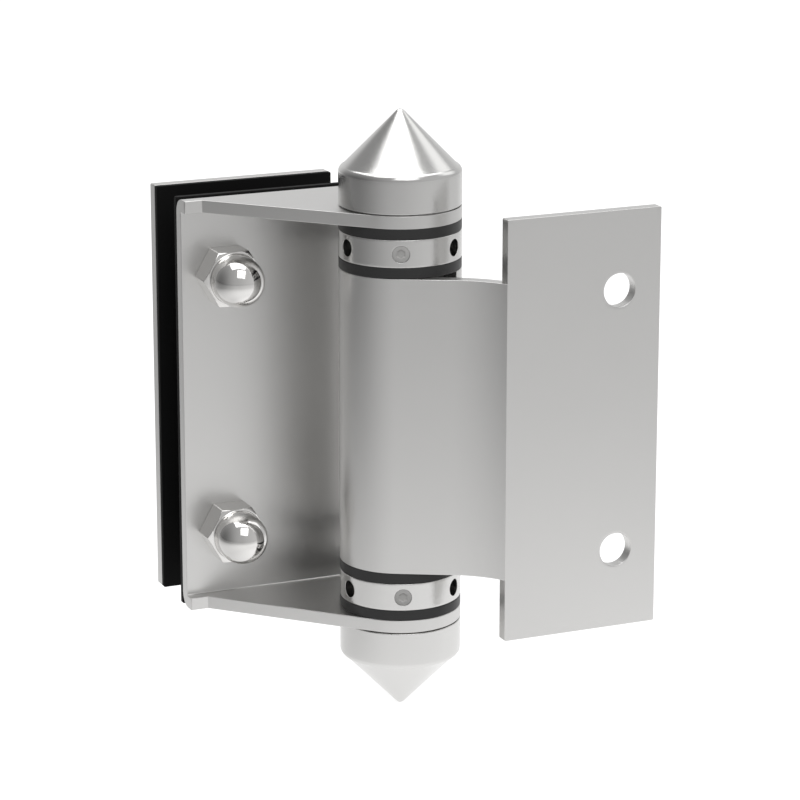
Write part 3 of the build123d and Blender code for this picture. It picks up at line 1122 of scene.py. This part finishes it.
    def lock_screw(self) -> None:
        """Lock screw: rings from the floor of its shallow hexagon, over the dulled face and down the side."""
        angles = np.arange(self.screw_points) * 2 * np.pi / self.screw_points
        circle = unit(angles)
        hexagon = circle / np.cos((angles + np.pi / 6) % (np.pi / 3) - np.pi / 6)[:, None]
        # Radius and depth below the face of each ring
        socket = ((0.8, 0.28), (0.9, 0.2), (0.94, 0.05), (1.0, 0.0))
        body = ((1.86, 0.0), (1.95, 0.05), (1.98, 0.12), (1.98, 8.8), (1.7, 9.0), (0.05, 9.0))
        rings = [(0.05 * circle, 0.3)] + [(r * hexagon, depth) for r, depth in socket]
        rings += [(r * circle, depth) for r, depth in body]
        flat = np.stack([ring for ring, _ in rings])
        reach = BARREL - self.screw_depth - np.repeat([[depth] for _, depth in rings], len(angles), 1)
        shell = Shell(f"{self.name}_grub_screw")
        shell.tube(self.raise_to_ring(self.bore(flat, reach, self.first_hole)))
        self.settle(shell.build(), Skin.SCREW, "screw_steel", self.collar_body, f"{self.name}_lock_screw")

    def build(self) -> None:
        """Makes the stack from the barrel outwards."""
        self.bush()
        self.collar()
        self.lock_screw()
        self.washer()
        self.cap()


@dataclass
class GlassClamp(Assembly):
    """What grips the glass behind the bracket: gaskets, clamp plate, studs with their sleeves, and cap nuts."""

    stud_x: float = -34.1
    stud_z: float = 31.2
    flats: float = 13.0
    corner: float = 0.3
    hex_height: float = 6.5
    face_radius: float = 6.65
    foot_edge: float = 0.12
    crest: float = 0.06  # round between a corner's cone and the flats
    dome: float = 6.0
    fillet: float = 0.35
    neck: float = 3.0
    seat: float = 24.7
    corner_points: int = 7
    flat_steps: int = 30
    fillet_steps: int = 5
    dome_steps: int = 40

    def sheets(self) -> None:
        """The two gaskets and the clamp plate."""
        for name, node, front, thickness, bore, skin, slot in (
            ("glass_gasket_front", "front_gasket", 27.7, 1.5, 4.25, Skin.RUBBER, "gasket_rubber"),
            ("glass_gasket_rear", "rear_gasket", 41.2, 1.5, 4.25, Skin.RUBBER, "gasket_rubber"),
            ("clamp_back_plate", "rear_clamp_plate", 42.7, 3.0, 4.05, Skin.BRACKET, "clamp_steel"),
        ):
            shell = Shell(name)
            hole = (self.stud_x, self.stud_z, bore)
            PunchedSheet(PLATE_LEFT, PLATE_RIGHT, PLATE_HALF, front, thickness, hole).fill(shell)
            self.settle(shell.build(), skin, slot, Body.GATE, node)

    def nut(self, name: str, side: int) -> None:
        """Domed nut as rings at matching angles: hexagon, cone-cut corners, face, fillet, neck and half ball.

        The hexagon's radius is (flats / 2) / cos(angle from the flat's middle), rounded at its corners. The cone takes
        tan 30 of what a corner stands out past the face's circle off its height.

        Args:
            name: the end that the nut is at.
            side: 1 for the upper nut, -1 for the lower.
        """
        half, ease, top, sixth = self.flats / 2.0, self.corner, self.hex_height, math.pi / 6
        reach = (half - ease) / math.cos(sixth)
        limit = math.atan2(ease * 0.5, reach + ease * math.cos(sixth))
        flat = np.linspace(limit, 2 * sixth - limit, self.flat_steps + 1)[1:-1]
        sector = np.concatenate([np.linspace(-limit, limit, self.corner_points), flat])
        angles = (sector[None] + np.arange(6)[:, None] * 2 * sixth).ravel()
        off = (angles + sixth) % (2 * sixth) - sixth
        bent = reach * np.cos(off) + np.sqrt(np.maximum(ease**2 - (reach * np.sin(off)) ** 2, 0.0))
        radius = np.where(np.abs(off) < limit * 0.999, bent, half / np.cos(sixth - np.abs(off)))
        face = np.minimum(radius, self.face_radius)
        under = np.maximum(radius - self.crest - self.face_radius, 0.0)
        fillet = bow((self.dome + self.fillet, top + self.fillet), self.fillet, 270.0, 180.0, self.fillet_steps)
        ball = bow((0.0, top + self.neck), self.dome, 0.0, 89.0, self.dome_steps)
        rings = [
            (0.04, 0.0),
            (radius - self.foot_edge, 0.0),
            (radius, self.foot_edge),
            (radius, top - 0.1 - (radius - face) * math.tan(sixth)),
            (radius - self.crest, top - under * math.tan(sixth)),
            (radius - self.crest - under, top),
            *fillet,
            *ball,
        ]
        radii, heights = (np.stack([0.0 * radius + ring[part] for ring in rings]) for part in (0, 1))
        across, up = self.stud_x + radii * np.cos(angles), side * self.stud_z + radii * np.sin(angles)
        shell = Shell(f"{name}_dome_nut")
        shell.tube(np.stack([across, self.seat - heights, up], -1))
        self.settle(shell.build(), Skin.POLISHED, "nut_steel", Body.GATE, f"{name}_cap_nut")

    def build(self) -> None:
        """Makes the clamp from the glass outwards."""
        self.sheets()
        for name, side in (("upper", 1), ("lower", -1)):
            self.nut(name, side)
            self.dress(Skin.TURNED, "stud_steel", f"{name}_clamp_stud")
            self.dress(Skin.SLEEVE, "sleeve_plastic", f"{name}_glass_sleeve")


# ---------------------------------------------------------------------------
# The studio


@dataclass(frozen=True)
class Softbox:
    """A rectangular lamp."""

    name: str
    place: tuple[float, float, float]  # metres to the camera's right, towards the camera and up, from the hinge axis
    size: tuple[float, float]  # metres
    power: float  # watts


@dataclass
class Studio:
    """White studio: world, floor, soft lamps and the camera of the photograph."""

    lens: float = 152.06
    sensor: float = 36.0
    azimuth: float = -23.517
    elevation: float = 15.121
    distance: float = 790.95
    target: tuple[float, float, float] = (-43.0, 24.5, 2.29)
    rightward: float = -0.030
    upward: float = 0.620
    clip: tuple[float, float] = (0.01, 20.0)  # metres
    floor_height: float = -72.0
    floor_reach: float = 6.0  # metres to each side
    floor_grey: float = 0.35
    floor_seen: float = 0.85  # what the camera sees of the floor, next to the grey's own light
    room_light: float = 0.5  # even light on the object
    under: float = 1.12  # painted glow that metal sees on the floor right under the object
    near_floor: float = 0.86  # and near it, in front
    near_right: float = 0.94  # and near it, to the right and to the left
    near_left: float = 0.66
    in_front: float = 0.47  # and further off, in front, to the right, to the left and low behind
    to_right: float = 0.64
    to_left: float = 0.15
    behind: float = 0.78
    bounce: float = 0.22  # what the lamps themselves add on the floor
    near_end: float = 0.08  # metres from the axis, where the near floor's level is reached
    far_span: tuple[float, float] = (0.09, 0.36)  # and where it goes over to the room's
    behind_span: tuple[float, float] = (0.55, 1.0)  # shares of a direction, backwards and up, between which
    above_span: tuple[float, float] = (0.3, 0.5)  # the room's level goes over to the one behind, and back
    softboxes: tuple[Softbox, ...] = (
        Softbox("overhead_softbox", (-0.045, -0.25, 1.0), (1.05, 1.2), 7.4),
        Softbox("front_softbox", (0.19, 0.72, 0.84), (0.66, 0.72), 2.6),
        Softbox("side_softbox", (0.70, -0.44, 0.65), (0.64, 0.5), 0.74),
    )

    def build(self) -> None:
        """Makes everything round the object."""
        self.world()
        self.floor()
        for box in self.softboxes:
            self.lamp(box)
        self.camera()

    def sideways(self) -> tuple[float, float, float]:
        """Unit vector to the camera's right, along the floor."""
        turn = math.radians(self.azimuth)
        return (math.cos(turn), math.sin(turn), 0.0)

    def sway(self, side: Signal, middle: float, right: float, left: float) -> Signal:
        """A level that changes in step with the share to the right, and with its square to the left."""
        rightward, leftward = side.high(0.0), (side * -1.0).high(0.0)
        return middle + rightward * (right - middle) + leftward * leftward * (left - middle)

    def surroundings(self, graph: Graph, way: Signal, side: Signal) -> Signal:
        """Brightness of the room in a direction, for the rays that metal throws back.

        The level sways with the sideways share of the direction, and is blended to the level behind as the direction
        turns away from the camera and stays low.

        Args:
            graph: the node tree.
            way: the direction, of length 1.
            side: its share to the camera's right.

        Returns:
            The brightness.
        """
        right = self.sideways()
        back = graph.dot(way, (-right[1], right[0], 0.0))
        level = self.sway(side, self.in_front, self.to_right, self.to_left)
        low = 1.0 - graph.ease(graph.dot(way, (0.0, 0.0, 1.0)), *self.above_span)
        return level + (self.behind - level) * (graph.ease(back, *self.behind_span) * low)

    def world(self) -> None:
        """White where the camera sees it, the room's levels in metal, and a dimmer even light on the object."""
        world = bpy.data.worlds.new("studio_white")
        bpy.context.scene.world = world
        world.use_nodes = True
        graph = Graph(world.node_tree)
        way = graph.node("ShaderNodeTexCoord", output="Generated")
        level = self.surroundings(graph, way, graph.dot(way, self.sideways()))
        strength = graph.by_ray(1.0, level, self.room_light)
        light = graph.node("ShaderNodeBackground", {}, {"Color": Tint.WHITE.value, "Strength": strength})
        graph.node("ShaderNodeOutputWorld", {}, {"Surface": light})

    def floor(self) -> None:
        """Plain pale floor under the lower cap's tip; metal sees a painted glow on it, brightest round the object."""
        reach, height = self.floor_reach, self.floor_height * MM
        corners = [(-reach, -reach), (reach, -reach), (reach, reach), (-reach, reach)]
        mesh = bpy.data.meshes.new("studio_floor")
        mesh.from_pydata([(x, y, height) for x, y in corners], [], [(0, 1, 2, 3)])
        floor = add_object("studio_floor", mesh)
        made, graph = new_material("studio_floor")
        spot = graph.place(centre=AXIS + (0.0, 0.0, self.floor_height))
        far = graph.vector("LENGTH", "Value", spot)
        way = graph.vector("NORMALIZE", "Vector", spot)
        side = graph.dot(way, self.sideways())
        level = self.surroundings(graph, way, side)
        near = self.sway(side, self.near_floor, self.near_right, self.near_left)
        near = self.under + (near - self.under) * graph.ease(far, 0.0, self.near_end)
        # Painted reflection: the glow that glossy rays see on the floor, with what the lamps add there taken off
        mirrored = near + (level - near) * graph.ease(far, *self.far_span) - self.bounce
        strength = graph.by_ray(self.floor_seen, mirrored, 0.0)
        glow = graph.node("ShaderNodeEmission", {}, {"Color": Tint.WHITE.value, "Strength": strength})
        grey = (self.floor_grey, self.floor_grey, self.floor_grey, 1.0)
        matt = graph.node("ShaderNodeBsdfDiffuse", {}, {"Color": grey})
        both = graph.node("ShaderNodeAddShader", {}, {0: glow, 1: matt})
        graph.node("ShaderNodeOutputMaterial", {}, {"Surface": both})
        mesh.materials.append(made)

    def lamp(self, box: Softbox) -> None:
        """One area lamp that faces the object's middle.

        Args:
            box: its place, size and power.
        """
        data = bpy.data.lights.new(box.name, "AREA")
        data.shape, data.size, data.size_y, data.energy = "RECTANGLE", *box.size, box.power
        right = Vector(self.sideways())
        spot = right * box.place[0] + Vector((right.y, -right.x, 0.0)) * box.place[1] + Vector((0.0, 0.0, box.place[2]))
        back = spot.normalized()
        level = (right - back * right.dot(back)).normalized()
        facing = Matrix((level, back.cross(level), back)).transposed().to_4x4()
        add_object(box.name, data).matrix_world = Matrix.Translation(spot + Vector(AXIS * MM)) @ facing

    def camera(self) -> None:
        """The photograph's camera: right, up and back are its own axes, and it looks along -back."""
        turn, rise = math.radians(self.azimuth), math.radians(self.elevation)
        back = Vector((math.sin(turn) * math.cos(rise), -math.cos(turn) * math.cos(rise), math.sin(rise)))
        right = Vector(self.sideways())
        up = back.cross(right)
        aim = Vector(self.target) + right * self.rightward + up * self.upward
        place = (aim + back * self.distance) * MM
        data = bpy.data.cameras.new("photo_camera")
        data.lens, data.sensor_width = self.lens, self.sensor
        data.clip_start, data.clip_end = self.clip
        camera = add_object("photo_camera", data)
        camera.matrix_world = Matrix.Translation(place) @ Matrix((right, up, back)).transposed().to_4x4()
        bpy.context.scene.camera = camera


def main() -> None:
    """Builds the object and the studio."""
    logging.basicConfig(level=logging.INFO, format="%(name)s %(message)s")
    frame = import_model()
    nodes = frame["nodes"]
    bpy.context.scene.view_settings.view_transform = "Standard"
    for part in (
        WallLeaf(nodes),
        Inside(nodes),
        BarrelEnd(nodes, "upper", 1, -22.7, Body.UPPER_COLLAR),
        BarrelEnd(nodes, "lower", -1, -20.6, Body.LOWER_COLLAR),
        GlassBracket(nodes),
        GlassClamp(nodes),
        Studio(),
    ):
        part.build()


if __name__ == "__main__":
    main()
